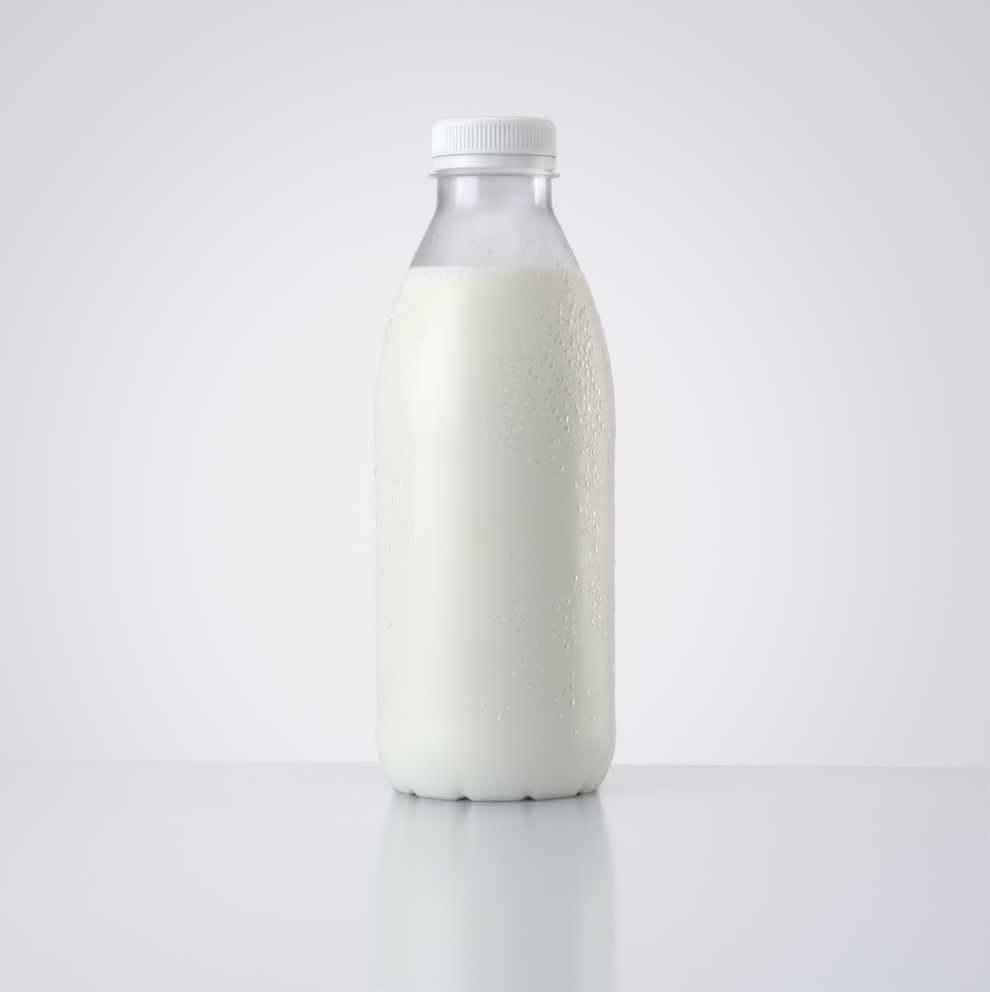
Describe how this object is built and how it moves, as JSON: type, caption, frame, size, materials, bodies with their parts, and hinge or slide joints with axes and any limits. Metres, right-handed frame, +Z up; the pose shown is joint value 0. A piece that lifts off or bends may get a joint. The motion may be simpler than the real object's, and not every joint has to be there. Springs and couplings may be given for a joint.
{
  "type": "ayran bottle",
  "caption": "Clear round drinks bottle with a sloping shoulder, scalloped base and white ribbed screw cap, filled with ayran and wet with condensation.",
  "frame": {"origin": "centre of the base, in the plane that the feet stand on", "axes": "+Z up along the bottle's axis, -Y towards the shown front, which a foot faces"},
  "size_m": [0.0792, 0.0792, 0.219],
  "materials": {
    "clear_plastic": "clear, glossy, wet with condensation",
    "white_plastic": "satin white",
    "ayran": "opaque milky liquid"
  },
  "bodies": {
    "root": {"bottle": "clear_plastic", "cap": "white_plastic", "tamper_band": "white_plastic", "ayran": "ayran"}
  },
  "joints": []
}
